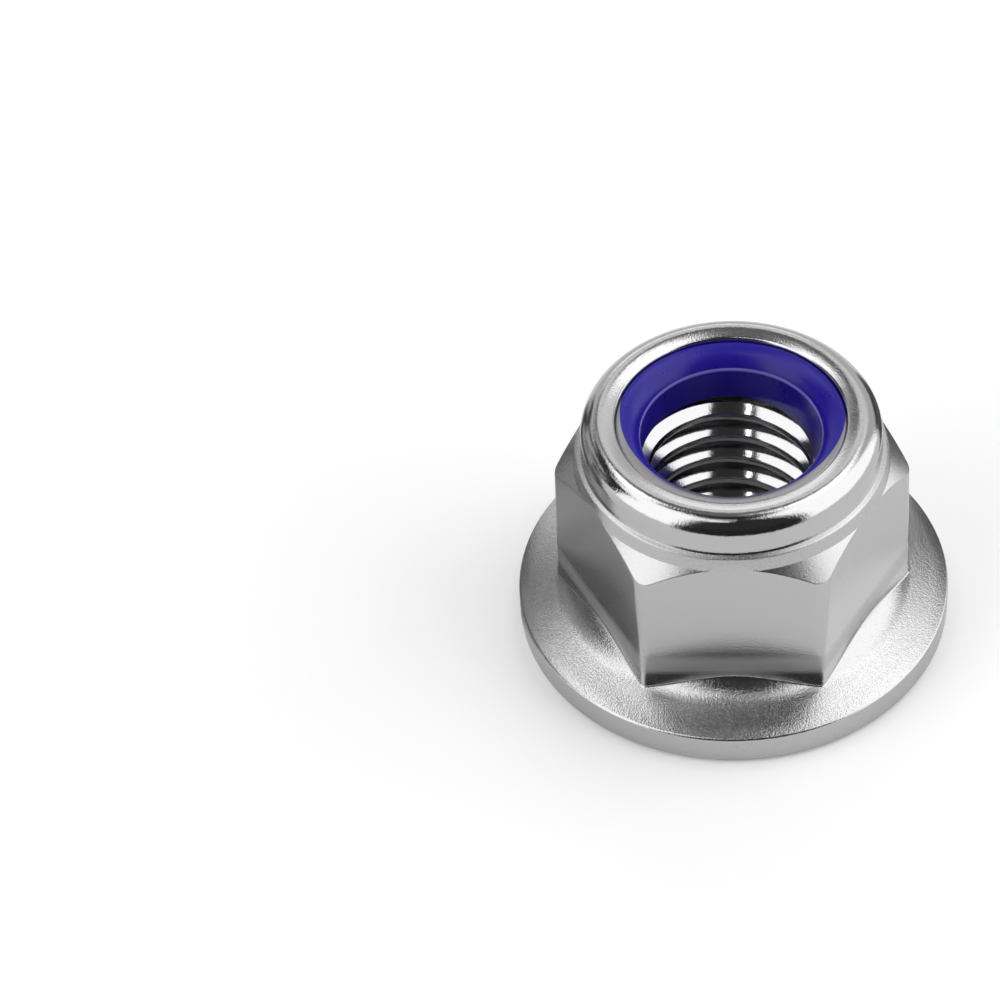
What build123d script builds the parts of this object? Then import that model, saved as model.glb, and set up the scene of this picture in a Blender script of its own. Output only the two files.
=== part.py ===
from build123d import *
from build123d.topology import SkipClean
import os
from math import ceil, cos, floor, radians, sin, sqrt, tan

# Hexagon flange lock nut for an M8 bolt, with a nylon locking ring held in a rolled collar.
# The nut stands on its bearing face at Z = 0, its axis is Z, and one flat faces -Y.
# All sizes are in millimetres and all angles in degrees.

# Thread, ISO metric coarse
thread_diameter = 8.0
thread_pitch = 1.25
groove_height = 0.375  # height at which one groove, if run on downwards, crosses the X axis

# Flange
flange_diameter = 17.9
rim_height = 1.43  # upper edge of the rim above the bearing face
rim_chamfer_low = 0.35
rim_chamfer_high = 0.1
flange_slope = 11.0
hollow_diameter = 14.9  # where the flange begins to sweep up into the hexagon
hollow_radius = 1.75

# Hexagon
across_flats = 12.7
corner_radius = 0.5
flat_height = 8.72  # top of each flat at its middle
chamfer_angle = 47.0

# Mouth of the bore in the bearing face
mouth_diameter = 10.3
mouth_depth = 1.3
mouth_lip_chamfer = 0.2
throat_clearance = 0.1  # all round the thread, at the bottom of the mouth
throat_angle = 45.0  # cone from there to the crests of the thread

# Collar, rolled in over the locking ring
nut_height = 10.9
collar_diameter = 12.16
collar_wall = 0.6
collar_root_radius = 0.6
roll_radius = 0.8
lip_opening = 9.32
lip_slope = 11.0
lip_edge_chamfer = 0.1

# Nylon locking ring
ring_bore = 7.34
ring_seat_depth = 2.45  # the ledge that carries the ring, below the top of the nut
ring_clearance = 0.01  # between the ring and the inside of the collar
ring_crown_depth = 0.25  # top of the ring, just inside the lip
ring_edge_depth = 0.93  # where the crown has fallen to the bore
ring_edge_chamfer = 0.1

# Shared geometry
flat_radius = across_flats / 2
flange_radius = flange_diameter / 2
major_radius = thread_diameter / 2
sharp_thread_height = sqrt(3) / 2 * thread_pitch
minor_radius = major_radius - 5 / 8 * sharp_thread_height
collar_radius = collar_diameter / 2
lip_radius = lip_opening / 2
pocket_radius = collar_radius - collar_wall
ring_seat = nut_height - ring_seat_depth


def lip_height(radius, depth):
    """Height of a surface that lies at this depth under the lip's sloping top, at a radius."""
    roll_centre_radius = collar_radius - roll_radius
    roll_centre_height = nut_height - roll_radius
    rise = roll_radius - depth + sin(radians(lip_slope)) * (radius - roll_centre_radius)
    return roll_centre_height + rise / cos(radians(lip_slope))


# Bite of the thread tool: a quarter turn of one groove, open towards the axis
bites_per_turn = 4
bite_rise = thread_pitch / bites_per_turn
bite_mouth_radius = minor_radius - thread_pitch / 8
with BuildPart() as thread_bite:
    with BuildLine() as bite_path:
        Helix(thread_pitch, bite_rise, major_radius)
    with BuildSketch(Plane.XZ):
        groove_floor = thread_pitch / 16
        groove_mouth = groove_floor + (major_radius - bite_mouth_radius) / sqrt(3)
        with BuildLine():
            Polyline(
                (major_radius, -groove_floor),
                (major_radius, groove_floor),
                (bite_mouth_radius, groove_mouth),
                (bite_mouth_radius, -groove_mouth),
                close=True,
            )
        make_face()
    sweep(path=bite_path.line, is_frenet=True)


# Nut body
with BuildPart() as nut_body:
    # Hexagon bar
    with BuildSketch():
        RegularPolygon(flat_radius, 6, major_radius=False)
        fillet(vertices(), corner_radius)
    extrude(amount=nut_height)

    # Turned outline: it chamfers the hexagon, and leaves the collar with its rolled lip
    chamfer_rise = (flat_radius - collar_radius) * tan(radians(chamfer_angle))
    chamfer_fall = flat_radius * tan(radians(chamfer_angle))
    with BuildSketch(Plane.XZ):
        with BuildLine():
            FilletPolyline(
                (0, ring_seat),
                (0, 0),
                (2 * flat_radius, 0),
                (2 * flat_radius, flat_height - chamfer_fall),
                (collar_radius, flat_height + chamfer_rise),
                (collar_radius, lip_height(collar_radius, 0)),
                (lip_radius, lip_height(lip_radius, 0)),
                (lip_radius, lip_height(lip_radius, collar_wall)),
                (pocket_radius, lip_height(pocket_radius, collar_wall)),
                (pocket_radius, ring_seat),
                radius=[0, 0, 0, 0, collar_root_radius, roll_radius, 0, 0, 0, 0],
                close=True,
            )
        make_face()
        lip = vertices().group_by(Axis.X)[1].sort_by(Axis.Y)
        chamfer(lip[-1], lip_edge_chamfer)
    revolve(mode=Mode.INTERSECT)

    # Flange: a rim, a slope and a hollow sweep into the flats
    hollow_start = hollow_diameter / 2
    flange_rise = (flange_radius - hollow_start) * tan(radians(flange_slope))
    with BuildSketch(Plane.XZ):
        with BuildLine():
            slope = Polyline(
                (0, 0),
                (flange_radius, 0),
                (flange_radius, rim_height),
                (hollow_start, rim_height + flange_rise),
            )
            hollow = JernArc(slope @ 1, slope % 1, hollow_radius, flange_slope - 90)
            Polyline(hollow @ 1, (0, (hollow @ 1).Y), (0, 0))
        make_face()
        rim = vertices().group_by(Axis.X)[-1].sort_by(Axis.Y)
        chamfer(rim[0], rim_chamfer_low)
        chamfer(rim[-1], rim_chamfer_high)
    revolve()

    # Mouth in the bearing face, with a blunted lip, and the cone where the thread begins
    mouth_radius = mouth_diameter / 2
    throat_radius = major_radius + throat_clearance
    throat_rise = throat_radius * tan(radians(throat_angle))
    with BuildSketch(Plane.XZ):
        with BuildLine():
            Polyline(
                (0, 0),
                (mouth_radius, 0),
                (throat_radius, mouth_depth),
                (0, mouth_depth + throat_rise),
                close=True,
            )
        make_face()
    revolve(mode=Mode.SUBTRACT)
    mouth_lip = edges().group_by(Axis.Z)[0].sort_by(SortBy.RADIUS)[0]
    chamfer(mouth_lip, mouth_lip_chamfer)

    # Bore at the crests of the thread, then the grooves, both a quarter turn at a time.
    # The joins between the quarters are kept, so each stretch of crest stays a short face.
    first_bite = floor((mouth_depth - thread_pitch - groove_height) / bite_rise)
    last_bite = ceil((ring_seat + thread_pitch / 2 - groove_height) / bite_rise)
    with SkipClean():
        for quarter in range(bites_per_turn):
            turn = quarter * 360 / bites_per_turn
            with BuildSketch(Plane.XZ.rotated((0, 0, turn))):
                Rectangle(minor_radius, ring_seat, align=(Align.MIN, Align.MIN))
            revolve(axis=Axis.Z, revolution_arc=360 / bites_per_turn, mode=Mode.SUBTRACT)
        for bite in range(first_bite, last_bite):
            height = groove_height + bite * bite_rise
            turn = bite * 360 / bites_per_turn
            with Locations(Location((0, 0, height), (0, 0, turn))):
                add(thread_bite.part, mode=Mode.SUBTRACT)


# Nylon ring: it fills the collar under the lip, and its crown falls away to the bore
ring_radius = pocket_radius - ring_clearance
ring_lip_radius = lip_radius - ring_clearance
ring_depth = collar_wall + ring_clearance
ring_bore_radius = ring_bore / 2
ring_crown = nut_height - ring_crown_depth
ring_edge_height = nut_height - ring_edge_depth
with BuildPart() as locking_ring:
    with BuildSketch(Plane.XZ):
        with BuildLine():
            wall = Polyline(
                (ring_bore_radius, ring_edge_height),
                (ring_bore_radius, ring_seat),
                (ring_radius, ring_seat),
                (ring_radius, lip_height(ring_radius, ring_depth)),
                (ring_lip_radius, lip_height(ring_lip_radius, ring_depth)),
                (ring_lip_radius, ring_crown),
            )
            TangentArc(wall @ 1, wall @ 0, tangent=(-1, 0))
        make_face()
        bore_side = vertices().group_by(Axis.X)[0]
        chamfer(bore_side.sort_by(Axis.Y)[-1], ring_edge_chamfer)
    revolve()


nut_body.part.label = "nut_body"
locking_ring.part.label = "locking_ring"

os.makedirs("parts", exist_ok=True)
export_step(nut_body.part, "parts/nut_body.step")
export_step(locking_ring.part, "parts/locking_ring.step")
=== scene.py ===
import bmesh
import bpy
from math import acos, atan2, cos, pi, radians, sin, sqrt, tan
from mathutils import Matrix, Vector


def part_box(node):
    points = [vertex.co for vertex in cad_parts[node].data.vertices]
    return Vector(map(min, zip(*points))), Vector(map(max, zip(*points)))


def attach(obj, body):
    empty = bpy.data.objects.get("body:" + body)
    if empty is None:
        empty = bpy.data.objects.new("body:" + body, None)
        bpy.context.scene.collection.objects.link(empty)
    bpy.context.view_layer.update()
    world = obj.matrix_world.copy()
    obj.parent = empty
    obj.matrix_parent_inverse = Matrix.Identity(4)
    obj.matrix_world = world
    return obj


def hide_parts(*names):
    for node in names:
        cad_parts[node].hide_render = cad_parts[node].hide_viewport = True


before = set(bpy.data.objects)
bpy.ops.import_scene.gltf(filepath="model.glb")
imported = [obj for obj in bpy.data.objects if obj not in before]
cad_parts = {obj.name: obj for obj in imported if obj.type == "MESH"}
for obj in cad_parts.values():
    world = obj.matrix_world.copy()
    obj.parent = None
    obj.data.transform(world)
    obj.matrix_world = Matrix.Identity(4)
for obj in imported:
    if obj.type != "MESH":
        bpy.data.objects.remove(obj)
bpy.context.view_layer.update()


# Nut body. One piece of stainless steel: cold formed with its flange and hexagon, then turned,
# chamfered and tapped. Its thin collar is rolled in over the locking ring.
MM = 0.001
nut_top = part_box("nut_body")[1].z
flange_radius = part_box("nut_body")[1].x
rim_height = 1.43 * MM
rim_round_low = 0.35 * MM
rim_round_high = 0.12 * MM
flange_slope = radians(11)
hollow_start = 7.45 * MM
hollow_radius = 1.75 * MM
flat_radius = 6.35 * MM
corner_round_low = 0.3 * MM
corner_round_high = 0.85 * MM
corner_low, corner_high = 1.8 * MM, 7.8 * MM
flat_height = 8.72 * MM
foot_round = 0.12 * MM
head_round = 0.08 * MM
least_round = 0.004 * MM
chamfer_slope = tan(radians(47))
step_low, step_high = 6.42 * MM, 6.285 * MM
step_height = 0.6 * MM
step_round = 0.03 * MM
ledge_rise = 0.03 * MM
mouth_radius = 5.15 * MM
mouth_depth = 1.3 * MM
mouth_round = 0.25 * MM
throat_radius = 4.1 * MM
thread_radius = 4.0 * MM
thread_pitch = 1.25 * MM
crest_radius = thread_radius - 5 / 8 * sqrt(3) / 2 * thread_pitch
collar_radius = 6.08 * MM
collar_wall = 0.6 * MM
collar_root_round = 0.03 * MM
roll_round = 0.8 * MM
lip_radius = 4.66 * MM
lip_slope = radians(11)
lip_round = 0.12 * MM
pocket_radius = collar_radius - collar_wall
ring_seat = nut_top - 2.45 * MM
columns = 480
even_share, crowded_share = 0.2, 0.8
settling_rounds = 6
sharp_turn = radians(28)


def arc(centre, radius, start, end, steps):
    """Points of an arc in the half plane of a section, as (radius, height)."""
    turns = [start + (end - start) * step / steps for step in range(steps + 1)]
    return [(centre[0] + radius * cos(turn), centre[1] + radius * sin(turn)) for turn in turns]


def rounded(corner, before, after, radius, steps):
    """A corner between two straight runs, as an arc that meets both of them."""
    corner, before, after = Vector(corner), Vector(before), Vector(after)
    back, onward = (before - corner).normalized(), (after - corner).normalized()
    half = back.angle(onward) / 2
    centre = corner + (back + onward).normalized() * radius / sin(half)
    start = corner + back * radius / tan(half) - centre
    turn = pi - 2 * half
    if back.x * onward.y - back.y * onward.x > 0:
        turn = -turn
    first = atan2(start.y, start.x)
    return arc(centre, radius, first, first + turn, steps)


def between(start, end, count):
    """Points that divide the straight run between two others."""
    start, end = Vector(start), Vector(end)
    return [tuple(start.lerp(end, step / (count + 1))) for step in range(1, count + 1)]


def lip_point(radius, depth):
    """A point of the rolled lip, this deep under its sloping top."""
    rise = roll_round - depth + sin(lip_slope) * (radius - collar_radius + roll_round)
    return radius, nut_top - roll_round + rise / cos(lip_slope)


def hexagon_reach(angle, height):
    """Reach of the hexagon in one direction. Its forged corners grow rounder upwards."""
    share = min(max((height - corner_low) / (corner_high - corner_low), 0), 1)
    corner_round = corner_round_low + (corner_round_high - corner_round_low) * share
    off_flat = abs(angle % radians(60) - radians(30))
    if flat_radius * tan(off_flat) <= (flat_radius - corner_round) * tan(radians(30)):
        return flat_radius / cos(off_flat)
    off_corner = radians(30) - off_flat
    centre = (flat_radius - corner_round) / cos(radians(30))
    return centre * cos(off_corner) + sqrt(corner_round ** 2 - (centre * sin(off_corner)) ** 2)


def chamfer_point(radius):
    """A point of the chamfer: a cone, then a steep step that leads up to the collar."""
    height = flat_height - (max(radius, step_low) - flat_radius) * chamfer_slope
    return radius, height + max(step_low - radius, 0) / (step_low - step_high) * step_height


def body_section(angle):
    """Outline of the nut in one direction: up the outside, over the lip and down the bore."""
    mouth = (mouth_radius, 0)
    throat = (throat_radius, mouth_depth)
    rim_low = (flange_radius, 0)
    rim_high = (flange_radius, rim_height)
    slope_end = (hollow_start, rim_height + (flange_radius - hollow_start) * tan(flange_slope))
    outline = rounded(mouth, throat, rim_low, mouth_round, 5)
    outline += rounded(rim_low, mouth, rim_high, rim_round_low, 6)
    outline += rounded(rim_high, rim_low, slope_end, rim_round_high, 4)
    outline += between(outline[-1], slope_end, 2)

    # The hollow sweeps up until it meets the flat or the corner in this direction. Where they
    # meet depends on the corner's roundness at that height, so it settles in a few rounds.
    sweep_centre = (
        slope_end[0] + hollow_radius * sin(flange_slope),
        slope_end[1] + hollow_radius * cos(flange_slope),
    )
    height = corner_low
    for _ in range(settling_rounds):
        reach = hexagon_reach(angle, height)
        sweep_end = pi + acos((sweep_centre[0] - reach) / hollow_radius)
        height = sweep_centre[1] + hollow_radius * sin(sweep_end)
    foot = Vector((reach, height))
    uphill = Vector((sin(sweep_end), -cos(sweep_end)))
    foot_reach = foot_round * tan(uphill.angle(Vector((0, 1))) / 2)
    sweep_start = radians(270) - flange_slope
    foot_start = sweep_end + foot_reach / hollow_radius
    outline += arc(sweep_centre, hollow_radius, sweep_start, foot_start, 12)[:-1]
    outline += rounded(foot, foot - uphill, foot + Vector((0, 1)), foot_round, 4)

    # The chamfer cuts the flat or corner off, and its step leads up to a narrow ledge.
    # The edge over the flat is eased less where it nears the foot of the step.
    for _ in range(settling_rounds):
        head = chamfer_point(hexagon_reach(angle, height))
        height = head[1]
    easing = max(min(abs(head[0] - step_low), head_round), least_round)
    ahead = chamfer_point(head[0] - easing / 2)
    eased_head = rounded(head, (head[0], 0), ahead, easing, 4)
    for _, height in between(outline[-1], eased_head[0], 14):
        outline.append((hexagon_reach(angle, height), height))
    outline += eased_head + [ahead]
    step_foot = chamfer_point(min(step_low, ahead[0] - easing / 8))
    step_top = chamfer_point(step_high)
    root = (collar_radius, step_top[1] + ledge_rise)
    roll = lip_point(collar_radius, 0)
    step_edge = rounded(step_top, step_foot, root, step_round, 3)
    outline += between(ahead, step_foot, 2) + [step_foot]
    outline += between(step_foot, step_edge[0], 6) + step_edge
    outline += rounded(root, step_top, roll, collar_root_round, 5)

    # Collar, rolled lip, pocket of the ring, bore at the thread's crests, and throat
    edge = lip_point(lip_radius, 0)
    under = lip_point(lip_radius, collar_wall)
    outline += rounded(roll, root, edge, roll_round, 16)
    outline += rounded(edge, roll, under, lip_round, 5)
    outline += [under, lip_point(pocket_radius, collar_wall), (pocket_radius, ring_seat)]
    ledge = (crest_radius, ring_seat)
    bore_end = (crest_radius, mouth_depth + throat_radius - crest_radius)
    outline += [ledge] + between(ledge, bore_end, 8) + [bore_end, throat]
    return outline


# The outline is spun, and each of its copies then takes the shape of its own direction.
# The copies stand closer together near the corners of the hexagon.
shell = bmesh.new()
row = shell.verts.layers.int.new("row")
outline_verts = []
for number, (reach, height) in enumerate(body_section(0)):
    outline_verts.append(shell.verts.new((reach, 0, height)))
    outline_verts[-1][row] = number
for first, second in zip(outline_verts, outline_verts[1:] + outline_verts[:1]):
    shell.edges.new((first, second))
bmesh.ops.spin(
    shell, geom=shell.verts[:] + shell.edges[:], cent=(0, 0, 0), axis=(0, 0, 1),
    angle=2 * pi, steps=columns, use_merge=True,
)
directions = []
for column in range(columns):
    even = 2 * pi * column / columns
    along = (even % radians(60)) / radians(30) - 1
    swing = radians(30) * (even_share * along + crowded_share * sin(along * pi / 2))
    directions.append(even - even % radians(60) + radians(30) + swing)
sections = [body_section(direction) for direction in directions]
for vert in shell.verts:
    column = round(atan2(vert.co.y, vert.co.x) / (2 * pi) * columns) % columns
    reach, height = sections[column][vert[row]]
    vert.co = (reach * cos(directions[column]), reach * sin(directions[column]), height)
bmesh.ops.recalc_face_normals(shell, faces=shell.faces)
body_mesh = bpy.data.meshes.new("flange_nut")
shell.to_mesh(body_mesh)
shell.free()
flange_nut = bpy.data.objects.new("flange_nut", body_mesh)
bpy.context.scene.collection.objects.link(flange_nut)

# The tap leaves one long groove. Its flanks stand at 60 degrees and its crests are eased.
groove_turns = 8
groove_steps = 96
groove_start = -0.875 * MM
crest_round = 0.13 * MM
floor_half = thread_pitch / 16
tap_overrun = 0.02 * MM
weld_distance = 1e-7
groove_floor = (thread_radius, floor_half)
groove_edge = (crest_radius, floor_half + (thread_radius - crest_radius) / sqrt(3))
tap_half = [groove_floor]
tap_half += rounded(groove_edge, groove_floor, (crest_radius, thread_pitch), crest_round, 4)[:-1]
last, before_last = Vector(tap_half[-1]), Vector(tap_half[-2])
run_out = (last - before_last).normalized()
tap_half.append(tuple(last + run_out * (last.x - crest_radius + tap_overrun) / -run_out.x))
tap = bmesh.new()
tooth = [tap.verts.new((reach, 0, groove_start - rise)) for reach, rise in tap_half]
tooth += [tap.verts.new((reach, 0, groove_start + rise)) for reach, rise in reversed(tap_half)]
face = tap.faces.new(tooth)
bmesh.ops.spin(
    tap, geom=[face], cent=(0, 0, 0), axis=(0, 0, 1), dvec=(0, 0, thread_pitch / groove_steps),
    angle=2 * pi * groove_turns, steps=groove_turns * groove_steps,
)
bmesh.ops.remove_doubles(tap, verts=tap.verts, dist=weld_distance)
bmesh.ops.recalc_face_normals(tap, faces=tap.faces)
tap_mesh = bpy.data.meshes.new("tap")
tap.to_mesh(tap_mesh)
tap.free()
tap_tool = bpy.data.objects.new("tap", tap_mesh)
bpy.context.scene.collection.objects.link(tap_tool)
cut = flange_nut.modifiers.new("thread", "BOOLEAN")
cut.operation = "DIFFERENCE"
cut.solver = "EXACT"
cut.object = tap_tool
bpy.context.view_layer.update()
depsgraph = bpy.context.evaluated_depsgraph_get()
threaded = bpy.data.meshes.new_from_object(flange_nut.evaluated_get(depsgraph))
flange_nut.modifiers.remove(cut)
flange_nut.data = threaded
bpy.data.objects.remove(tap_tool)
threaded.polygons.foreach_set("use_smooth", [True] * len(threaded.polygons))
threaded.set_sharp_from_angle(angle=sharp_turn)


class Signal:
    """An output in a material. Sums and products with it add their Math nodes."""

    def __init__(self, finish, socket):
        self.finish = finish
        self.socket = socket

    def math(self, operation, *values):
        return self.finish.node("ShaderNodeMath", {"operation": operation}, dict(enumerate(values)))

    def __add__(self, other):
        return self.math("ADD", self, other)

    def __sub__(self, other):
        return self.math("SUBTRACT", self, other)

    def __rsub__(self, other):
        return self.math("SUBTRACT", other, self)

    def __mul__(self, other):
        return self.math("MULTIPLY", self, other)

    def rise(self, low, high):
        """From 0 to 1 as the value passes from low to high, or back where high is less."""
        ends = {"Value": self, "From Min": low, "From Max": high}
        return self.finish.node("ShaderNodeMapRange", {"interpolation_type": "SMOOTHSTEP"}, ends)

    __radd__ = __add__
    __rmul__ = __mul__


class Finish:
    """A material that is made from nodes, with its surface shader ready."""

    def __init__(self, name):
        self.material = bpy.data.materials.new(name)
        self.material.use_nodes = True
        self.tree = self.material.node_tree
        self.surface = self.tree.nodes["Principled BSDF"]

    def node(self, kind, settings=None, sockets=None, output=0):
        """Adds a node, sets it, then gives its sockets their values or links."""
        made = self.tree.nodes.new(kind)
        for name, value in (settings or {}).items():
            setattr(made, name, value)
        self.plug(made, sockets or {})
        return Signal(self, made.outputs[output])

    def plug(self, node, sockets):
        """Gives a node's sockets their values or links."""
        for name, value in sockets.items():
            if isinstance(value, Signal):
                self.tree.links.new(value.socket, node.inputs[name])
            else:
                node.inputs[name].default_value = value

    def noise(self, place, scale, detail, roughness):
        sockets = {"Vector": place, "Scale": scale, "Detail": detail, "Roughness": roughness}
        return self.node("ShaderNodeTexNoise", None, sockets, "Fac")

    def bump(self, distance, height):
        sockets = {"Strength": 1.0, "Distance": distance, "Height": height}
        return self.node("ShaderNodeBump", None, sockets)

    def mix(self, share, first, second):
        """From the first colour to the second."""
        return self.node("ShaderNodeMix", {"data_type": "RGBA"}, {0: share, 6: first, 7: second}, 2)


# Pressing left the flange grainy, with fine dark pits, and the foot of each flat rough. The
# collar, the lip and the bore are turned smooth, and the chamfer is a little dull.
bright_steel = (0.53, 0.525, 0.53, 1)
dark_pit = (0.16, 0.15, 0.155, 1)
relief_depth = 4e-6
steel = Finish("stainless_steel")
place = steel.node("ShaderNodeTexCoord", output="Object")
x, y, z = (steel.node("ShaderNodeSeparateXYZ", None, {0: place}, axis) for axis in "XYZ")
off_axis = x.math("SQRT", x * x + y * y)

# Each finish is 1 where it lies and 0 elsewhere
collar = z.rise(9.29 * MM, 9.33 * MM)
bore = off_axis.rise(4.4 * MM, 4.1 * MM)
turned = collar.math("MAXIMUM", collar, bore)
over_chamfer = z - flat_height + (off_axis - flat_radius) * chamfer_slope
chamfer = over_chamfer.rise(-0.05 * MM, -0.02 * MM) * (1 - turned)
flange = z.rise(3.2 * MM, 2.2 * MM) * (1 - bore)
foot = z.rise(2.4 * MM, 2.8 * MM) * z.rise(3.8 * MM, 3.2 * MM) * (1 - bore)
grain = steel.noise(place, 14000, 2.0, 0.6)
pits = steel.noise(place, 9000, 3.0, 0.6)
waves = steel.noise(place, 900, 2.0, 0.5)
sand = pits.rise(0.55, 0.7) * flange
relief = grain * (1.3 + flange * 1.5 - bore) + pits * (0.3 + flange * 1.1)
relief = relief + waves * (0.5 + flange * 0.5)
steel.plug(steel.surface, {
    "Base Color": steel.mix(sand * 0.14, bright_steel, dark_pit),
    "Metallic": 1.0,
    "Roughness": 0.2 + foot * 0.25 + chamfer * 0.08 - turned * 0.12 + (grain - 0.5) * 0.06,
    "Normal": steel.bump(relief_depth, relief),
})
flange_nut.data.materials.clear()
flange_nut.data.materials.append(steel.material)
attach(flange_nut, "root")
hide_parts("nut_body")


# Locking ring. A plain ring of nylon, turned or moulded, that is dropped on the ledge in the
# collar and then held there by the rolled lip. Its smooth top falls away to the bore.
ring_bore = 3.67 * MM
ring_gap = 0.01 * MM
ring_crown = nut_top - 0.25 * MM
ring_edge = nut_top - 0.93 * MM
ring_edge_round = 0.12 * MM
crown_rim_round = 0.1 * MM
crown_start = lip_radius - ring_gap
crown_width, crown_fall = crown_start - ring_bore, ring_crown - ring_edge
crown_radius = (crown_width ** 2 + crown_fall ** 2) / 2 / crown_fall
crown_centre = (crown_start, ring_crown - crown_radius)
crown_end = pi - acos(crown_width / crown_radius)
brink = Vector((ring_bore, ring_edge))
downhill = Vector((-sin(crown_end), cos(crown_end)))
ring_outline = [
    (ring_bore, ring_seat),
    (pocket_radius - ring_gap, ring_seat),
    lip_point(pocket_radius - ring_gap, collar_wall + ring_gap),
    lip_point(crown_start, collar_wall + ring_gap),
]
crown_rim, inward = (crown_start, ring_crown), (ring_bore, ring_crown)
ring_outline += rounded(crown_rim, (crown_start, ring_seat), inward, crown_rim_round, 4)
crown_turn = pi / 2 + crown_rim_round / crown_radius
ring_outline += arc(crown_centre, crown_radius, crown_turn, crown_end - radians(2), 10)[1:]
ring_outline += rounded(brink, brink - downhill, (ring_bore, ring_seat), ring_edge_round, 5)
ring_shell = bmesh.new()
outline_verts = [ring_shell.verts.new((reach, 0, height)) for reach, height in ring_outline]
for first, second in zip(outline_verts, outline_verts[1:] + outline_verts[:1]):
    ring_shell.edges.new((first, second))
bmesh.ops.spin(
    ring_shell, geom=ring_shell.verts[:] + ring_shell.edges[:], cent=(0, 0, 0), axis=(0, 0, 1),
    angle=2 * pi, steps=240, use_merge=True,
)
bmesh.ops.recalc_face_normals(ring_shell, faces=ring_shell.faces)
ring_mesh = bpy.data.meshes.new("nylon_ring")
ring_shell.to_mesh(ring_mesh)
ring_shell.free()
ring_mesh.polygons.foreach_set("use_smooth", [True] * len(ring_mesh.polygons))
ring_mesh.set_sharp_from_angle(angle=sharp_turn)
nylon_ring = bpy.data.objects.new("nylon_ring", ring_mesh)
bpy.context.scene.collection.objects.link(nylon_ring)

# A fine pale line round the brink of the bore is a painted highlight. On one side of the crown, a
# grey crescent is a painted reflection of bright light, and it is made partly metallic there.
deep_violet, clear_violet = (0.014, 0.006, 0.25, 1), (0.02, 0.01, 0.32, 1)
brink_highlight_violet = (0.3, 0.25, 0.75, 1)
reflection_grey = (0.34, 0.33, 0.35, 1)
skin_depth = 2e-6
nylon = Finish("violet_nylon")
place = nylon.node("ShaderNodeTexCoord", output="Object")
x, y, z = (nylon.node("ShaderNodeSeparateXYZ", None, {0: place}, axis) for axis in "XYZ")
off_axis = x.math("SQRT", x * x + y * y)
skin = nylon.noise(place, 1500, 2.0, 0.5)
# Painted highlight: a pale line round the brink of the bore
brink_highlight = z.rise(ring_edge - 0.1 * MM, ring_edge - 0.05 * MM)
brink_highlight = brink_highlight * off_axis.rise(ring_bore + 0.04 * MM, ring_bore + 0.02 * MM)
# Painted reflection: a grey crescent on one side of the crown, partly metallic
reflection_x, reflection_y = x - 0.07 * MM, y - 0.59 * MM
off_reflection = reflection_x.math("SQRT", reflection_x * reflection_x + reflection_y * reflection_y)
painted_reflection = off_reflection.rise(4.53 * MM, 4.57 * MM)
violet = nylon.mix(skin, deep_violet, clear_violet)
# The painted highlight is mixed into the violet here, and the painted reflection into the base
# colour below
violet = nylon.mix(brink_highlight * 0.8, violet, brink_highlight_violet)
nylon.plug(nylon.surface, {
    "Base Color": nylon.mix(painted_reflection, violet, reflection_grey),
    "Metallic": painted_reflection * 0.8,
    "Roughness": 0.24 + skin * 0.1,
    "Specular IOR Level": 0.3,
    "Normal": nylon.bump(skin_depth, skin),
})
ring_mesh.materials.append(nylon.material)
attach(nylon_ring, "root")
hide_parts("locking_ring")


# Camera. It looks down at a flat of the nut from a little to one side, with a long lens,
# and sees the nut right of the middle of its picture. The lights turn with it.
studio = Matrix.Rotation(radians(5.34), 4, "Z")
view_rise = radians(46)
view_roll = radians(-4.28)
view_distance = 160 * MM
focal_length = 3.868
nut_seen = (0.2323, -0.0351)
nut_middle = Vector((0, 0, 4 * MM))
back = Vector((0, -cos(view_rise), sin(view_rise)))
level, steep = Vector((1, 0, 0)), Vector((0, sin(view_rise), cos(view_rise)))
across = level * cos(view_roll) + steep * sin(view_roll)
upward = steep * cos(view_roll) - level * sin(view_roll)
sight = across * nut_seen[0] / focal_length + upward * nut_seen[1] / focal_length - back
standpoint = nut_middle - sight * view_distance
camera = bpy.data.objects.new("camera", bpy.data.cameras.new("camera"))
camera.data.lens = focal_length * camera.data.sensor_width
camera.data.clip_start = 0.01
camera.matrix_world = studio @ Matrix((
    (across.x, upward.x, back.x, standpoint.x),
    (across.y, upward.y, back.y, standpoint.y),
    (across.z, upward.z, back.z, standpoint.z),
    (0, 0, 0, 1),
))
bpy.context.scene.collection.objects.link(camera)
bpy.context.scene.camera = camera


# Floor. A wide pale sheet, which looks white where it is lit and keeps the nut's soft shadow.
floor_shape = bmesh.new()
bmesh.ops.create_grid(floor_shape, x_segments=1, y_segments=1, size=2)
floor_mesh = bpy.data.meshes.new("floor")
floor_shape.to_mesh(floor_mesh)
floor_shape.free()
floor = bpy.data.objects.new("floor", floor_mesh)
bpy.context.scene.collection.objects.link(floor)
white = (1, 1, 1, 1)
paper = Finish("paper")
seen = paper.node("ShaderNodeLightPath", output="Is Camera Ray")
mirrored = paper.node("ShaderNodeLightPath", output="Is Glossy Ray")
mirrored = mirrored + paper.node("ShaderNodeLightPath", output="Is Transmission Ray")
paper.plug(paper.surface, {
    "Base Color": (0.9, 0.9, 0.905, 1),
    "Roughness": 0.9,
    "Specular IOR Level": 0.1,
    "Emission Color": white,
    "Emission Strength": (seen + mirrored * 0.2) * 0.17,
})
floor_mesh.materials.append(paper.material)


# Lights. White panels stand left and right and lean in over the nut, dimmer walls close the back,
# and the camera's side is dark but for one small lamp. Mottled cards that only reflections see
# shade the nut at the front, on the left and on the right.
panel_distance, nearer = 3, 2.9
panel_rows, panel_columns = 8, 12
card_lift = 0.02 * MM


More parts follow.
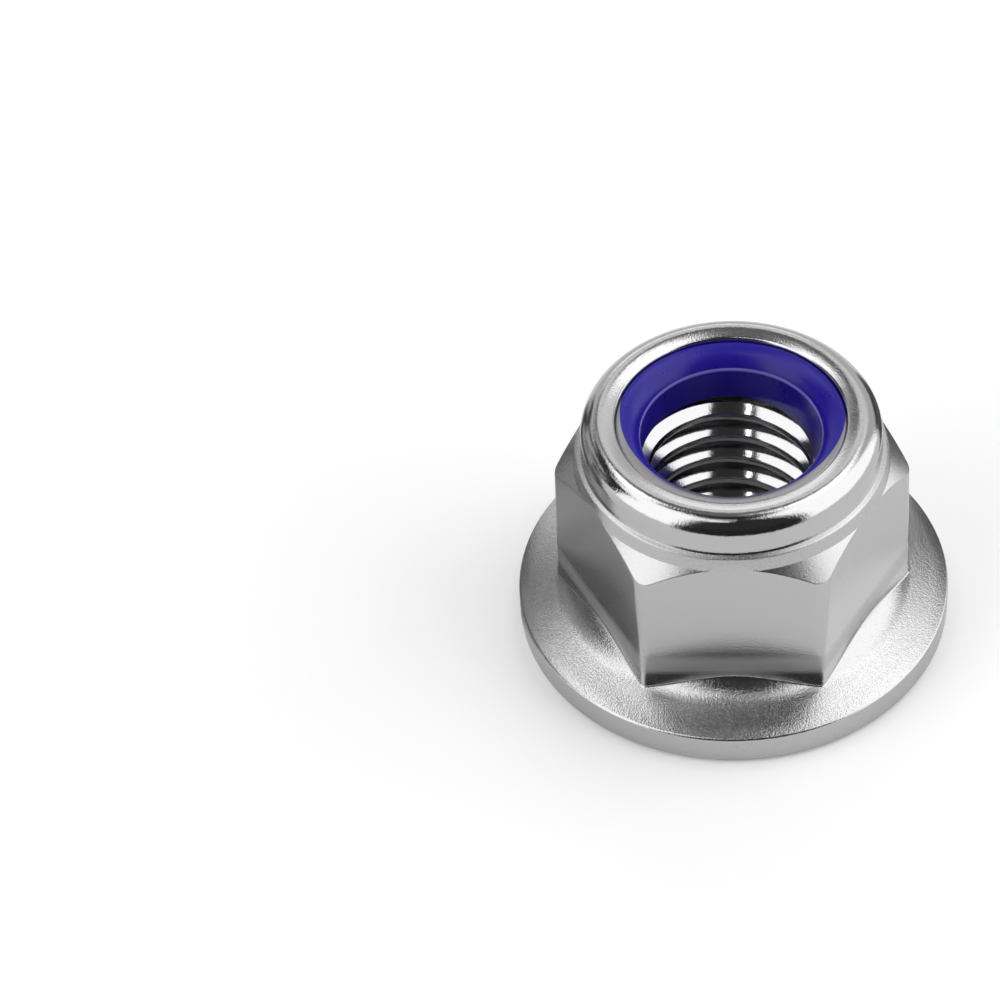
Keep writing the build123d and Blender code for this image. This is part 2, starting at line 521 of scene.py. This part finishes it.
def panel(name, azimuths, elevations, brightness, distance=panel_distance):
    """A curved white panel round the nut, between two azimuths and two elevations in degrees.

    Azimuth 0 is behind the nut as the camera sees it, and 90 is on its right.
    """
    low, high = (radians(elevation) for elevation in elevations)
    swing = radians(azimuths[1] - azimuths[0])
    sheet = bmesh.new()
    rises = [low + (high - low) * step / panel_rows for step in range(panel_rows + 1)]
    edge = [sheet.verts.new((0, distance * cos(rise), distance * sin(rise))) for rise in rises]
    for first, second in zip(edge, edge[1:]):
        sheet.edges.new((first, second))
    bmesh.ops.spin(
        sheet, geom=sheet.verts[:] + sheet.edges[:], cent=(0, 0, 0), axis=(0, 0, 1),
        angle=-swing, steps=panel_columns,
    )
    turn = studio @ Matrix.Rotation(radians(-azimuths[0]), 4, "Z")
    bmesh.ops.transform(sheet, matrix=turn, verts=sheet.verts)
    mesh = bpy.data.meshes.new(name)
    sheet.to_mesh(mesh)
    sheet.free()
    screen = bpy.data.objects.new(name, mesh)
    bpy.context.scene.collection.objects.link(screen)
    glow = Finish(name)
    glow.plug(glow.surface, {
        "Base Color": (0, 0, 0, 1),
        "Specular IOR Level": 0.0,
        "Emission Color": white,
        "Emission Strength": brightness,
    })
    mesh.materials.append(glow.material)
    screen.visible_camera = screen.visible_shadow = False


def card(name, azimuth, distance, width, height, dark, pale, lying=False):
    """A mottled sheet that only reflections see. It stands facing the nut, or lies flat."""
    sheet = bmesh.new()
    bmesh.ops.create_grid(sheet, x_segments=1, y_segments=1, size=0.5)
    bmesh.ops.scale(sheet, vec=(width, height, 1), verts=sheet.verts)
    if not lying:
        bmesh.ops.rotate(sheet, matrix=Matrix.Rotation(radians(90), 3, "X"), verts=sheet.verts)
        bmesh.ops.translate(sheet, vec=(0, 0, height / 2), verts=sheet.verts)
    bmesh.ops.translate(sheet, vec=(0, distance, card_lift), verts=sheet.verts)
    turn = studio @ Matrix.Rotation(radians(-azimuth), 4, "Z")
    bmesh.ops.transform(sheet, matrix=turn, verts=sheet.verts)
    mesh = bpy.data.meshes.new(name)
    sheet.to_mesh(mesh)
    sheet.free()
    board = bpy.data.objects.new(name, mesh)
    bpy.context.scene.collection.objects.link(board)
    felt = Finish(name)
    place = felt.node("ShaderNodeTexCoord", output="Object")
    mottle = felt.noise(place, 300, 2.0, 0.6).rise(0.4, 0.6)
    felt.plug(felt.surface, {
        "Base Color": felt.mix(mottle, (dark, dark, dark, 1), (pale, pale, pale, 1)),
        "Roughness": 1.0,
        "Specular IOR Level": 0.0,
    })
    mesh.materials.append(felt.material)
    board.visible_camera = board.visible_diffuse = board.visible_shadow = False


panel("panel_right", (58, 134), (0, 78), 1.8)
panel("panel_left", (-140, -91), (0, 44), 1.8)
panel("panel_left_top", (-140, -64), (44, 78), 1.8)
panel("roof_right", (20, 58), (50, 72), 2.3)
panel("roof_left", (-62, -20), (51, 67), 2.3)
panel("roof_back", (-20, 20), (53, 76), 0.2)
panel("wall_back", (-46, 36), (0, 36), 0.7)
panel("wall_right", (36, 58), (0, 50), 0.65)
panel("wall_high", (-10, 36), (36, 50), 1.0)
panel("wall_high_left", (-34, -16), (38, 51), 0.5)
panel("strip_back", (-14, 14), (20, 31), 1.5, nearer)
panel("lamp_small", (-159, -153), (66, 82), 6, nearer)
card("card_front", 180, 50 * MM, 90 * MM, 30 * MM, 0.02, 0.05)
card("card_left", -66, 15 * MM, 14 * MM, 17 * MM, 0.08, 0.6)
card("card_floor", -71, 12.5 * MM, 11 * MM, 8 * MM, 0.35, 0.5, lying=True)
card("card_right", 55, 18 * MM, 9 * MM, 13 * MM, 0.1, 0.2)


class Sky(Finish):
    """The world's nodes, with its background shader ready."""

    def __init__(self, name):
        self.world = bpy.data.worlds.new(name)
        self.world.use_nodes = True
        self.tree = self.world.node_tree
        self.surface = self.tree.nodes["Background"]


# The room is dim overhead. The camera sees it white, and reflections see it white at the
# horizon.
room_glow = 0.04
room = Sky("room")
outward = room.node("ShaderNodeTexCoord", output="Generated")
horizon = room.node("ShaderNodeSeparateXYZ", None, {0: outward}, "Z").rise(0.12, 0.05)
seen = room.node("ShaderNodeLightPath", output="Is Camera Ray")
mirrored = room.node("ShaderNodeLightPath", output="Is Glossy Ray")
mirrored = mirrored + room.node("ShaderNodeLightPath", output="Is Transmission Ray")
room.plug(room.surface, {
    "Color": white,
    "Strength": seen.math("MAXIMUM", seen, mirrored * horizon) + room_glow,
})
bpy.context.scene.world = room.world

bpy.context.scene.view_settings.view_transform = "Standard"
